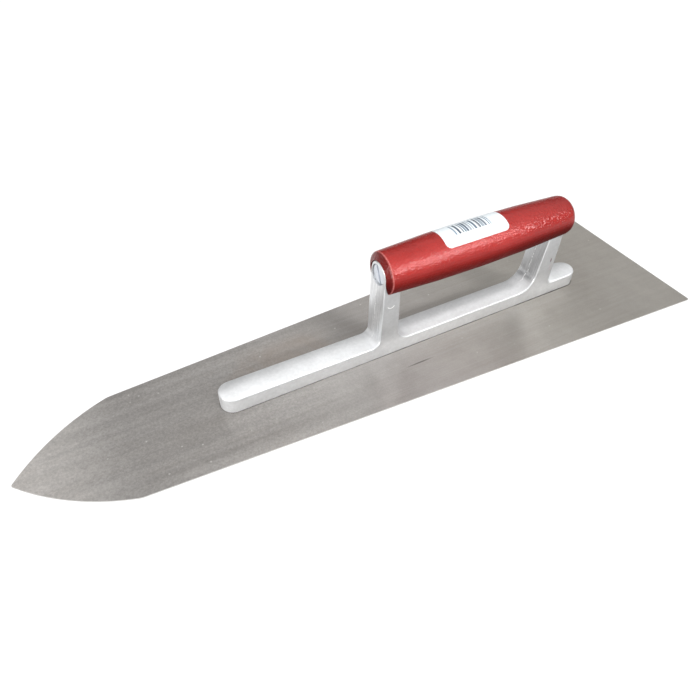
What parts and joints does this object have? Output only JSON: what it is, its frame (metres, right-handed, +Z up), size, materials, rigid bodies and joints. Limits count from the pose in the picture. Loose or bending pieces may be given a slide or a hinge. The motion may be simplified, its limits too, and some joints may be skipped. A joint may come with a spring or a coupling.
{
  "type": "finishing trowel",
  "caption": "Long pointed floor and plaster finishing trowel: thin tapered steel blade, cast aluminium bracket with two posts, and a lacquered wooden grip tied between them.",
  "frame": {"origin": "centre of the overall box at the blade's underside", "axes": "+X along the blade from its nose to its heel, +Z up from the blade to the grip"},
  "size_m": [0.48, 0.1324, 0.0821],
  "materials": {
    "blade_steel": "satin, ground lengthwise",
    "cast_aluminium": "die cast, tumbled satin",
    "red_lacquered_wood": "gloss red lacquer",
    "zinc_plated_steel": "bright zinc",
    "rivet_steel": "ground flush"
  },
  "bodies": {
    "root": {"blade": "blade_steel", "bracket": "cast_aluminium", "grip": "red_lacquered_wood", "tie_screw": "zinc_plated_steel", "blade_rivets": "rivet_steel"}
  },
  "joints": []
}
